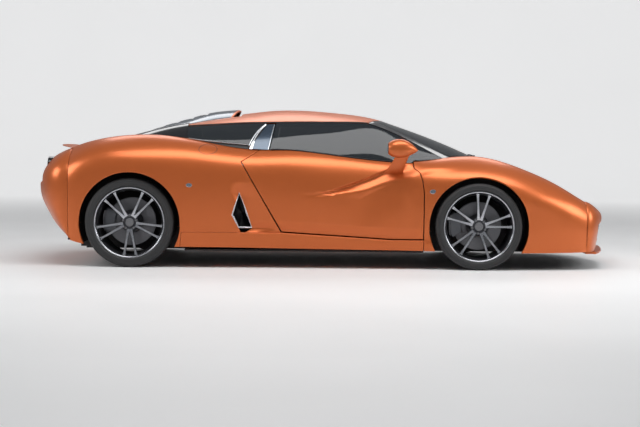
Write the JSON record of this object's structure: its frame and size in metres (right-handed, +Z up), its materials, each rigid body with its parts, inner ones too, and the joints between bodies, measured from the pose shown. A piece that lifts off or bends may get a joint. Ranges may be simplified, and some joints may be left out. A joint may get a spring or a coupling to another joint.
{
  "type": "two-seat mid-engined supercar",
  "caption": "Low, wide two-seat mid-engined coupe with opening doors, hood and engine cover, steered front wheels and free-rolling wheels.",
  "frame": {"origin": "on the ground, under the middle of the car's length and width", "axes": "+X forward to the nose, +Y to the car's left, +Z up"},
  "size_m": [4.3616, 2.094, 1.1732],
  "materials": {
    "paint": "satin metallic copper orange",
    "black_plastic": "matt",
    "dark_metal": "satin anthracite",
    "glass": "tinted, gloss",
    "pillar_panel": "gloss blue grey",
    "tyre": "matt",
    "steel": "brushed",
    "lens": "clear, gloss",
    "red_lens": "gloss",
    "leather": "matt",
    "engine": "cast"
  },
  "bodies": {
    "body": {"cabin_tub": "dark_metal", "chassis": "dark_metal", "cowl": "black_plastic", "dashboard": "black_plastic", "engine": "engine", "exhausts": "steel", "fender_left": "paint", "fender_right": "paint", "front_bumper": "paint", "front_grilles": "black_plastic", "front_splitter": "black_plastic", "headlamps": "lens", "luggage_box": "leather", "pillar_panels": "pillar_panel", "quarter_glass": "glass", "quarter_left": "paint", "quarter_right": "paint", "rear_bumper": "paint", "rear_carrier_left": "steel", "rear_carrier_right": "steel", "rear_grille": "black_plastic", "roof": "paint", "roof_frame": "dark_metal", "sail_panels": "black_plastic", "seats": "leather", "sills": "paint", "suspension_arms": "steel", "tail_deck": "paint", "tail_lamps": "red_lens", "wheel_liners": "black_plastic", "windscreen": "glass", "windscreen_pillars": "black_plastic"},
    "hood": {"hood": "paint"},
    "engine_cover": {"engine_cover": "black_plastic"},
    "door_left": {"door_left": "paint", "door_glass_left": "glass", "mirror_left": "paint"},
    "door_right": {"door_right": "paint", "door_glass_right": "glass", "mirror_right": "paint"},
    "steering_wheel": {"steering_wheel": "leather"},
    "front_knuckle_left": {"front_knuckle_left": "steel"},
    "front_knuckle_right": {"front_knuckle_right": "steel"},
    "front_wheel_left": {"front_tyre_left": "tyre", "front_rim_left": "dark_metal"},
    "rear_wheel_left": {"rear_tyre_left": "tyre", "rear_rim_left": "dark_metal"},
    "front_wheel_right": {"front_tyre_right": "tyre", "front_rim_right": "dark_metal"},
    "rear_wheel_right": {"rear_tyre_right": "tyre", "rear_rim_right": "dark_metal"}
  },
  "joints": [
    {"name": "hood_hinge", "type": "hinge", "parent": "body", "child": "hood", "pos_m": [0.99, 0, 0.768], "axis": [0, -1, 0], "range_deg": [0, 50]},
    {"name": "engine_cover_hinge", "type": "hinge", "parent": "body", "child": "engine_cover", "pos_m": [-0.7, 0, 1.148], "axis": [0, 1, 0], "range_deg": [0, 40]},
    {"name": "door_left_hinge", "type": "hinge", "parent": "body", "child": "door_left", "pos_m": [0.62, 0.884, 0.48], "axis": [0, 0, -1], "range_deg": [0, 65]},
    {"name": "door_right_hinge", "type": "hinge", "parent": "body", "child": "door_right", "pos_m": [0.62, -0.884, 0.48], "axis": [0, 0, 1], "range_deg": [0, 65]},
    {"name": "steer_left", "type": "hinge", "parent": "body", "child": "front_knuckle_left", "pos_m": [1.135, 0.7045, 0.32], "axis": [0, 0, 1], "range_deg": [-30, 30]},
    {"name": "steer_right", "type": "hinge", "parent": "body", "child": "front_knuckle_right", "pos_m": [1.135, -0.7045, 0.32], "axis": [0, 0, 1], "range_deg": [-30, 30]},
    {"name": "steering_wheel_turn", "type": "hinge", "parent": "body", "child": "steering_wheel", "pos_m": [0.296, 0.38, 0.668], "axis": [-0.9135, 0, 0.4067], "range_deg": [-410, 410]},
    {"name": "front_wheel_left_spin", "type": "hinge", "parent": "front_knuckle_left", "child": "front_wheel_left", "pos_m": [1.135, 0.7965, 0.32], "axis": [0, 1, 0], "continuous": true},
    {"name": "rear_wheel_left_spin", "type": "hinge", "parent": "body", "child": "rear_wheel_left", "pos_m": [-1.425, 0.7805, 0.328], "axis": [0, 1, 0], "continuous": true},
    {"name": "front_wheel_right_spin", "type": "hinge", "parent": "front_knuckle_right", "child": "front_wheel_right", "pos_m": [1.135, -0.7965, 0.32], "axis": [0, 1, 0], "continuous": true},
    {"name": "rear_wheel_right_spin", "type": "hinge", "parent": "body", "child": "rear_wheel_right", "pos_m": [-1.425, -0.7805, 0.328], "axis": [0, 1, 0], "continuous": true}
  ],
  "couplings": [
    {"joint": "steer_right", "follows": "steer_left", "ratio": 1},
    {"joint": "steering_wheel_turn", "follows": "steer_left", "ratio": 13.6}
  ]
}
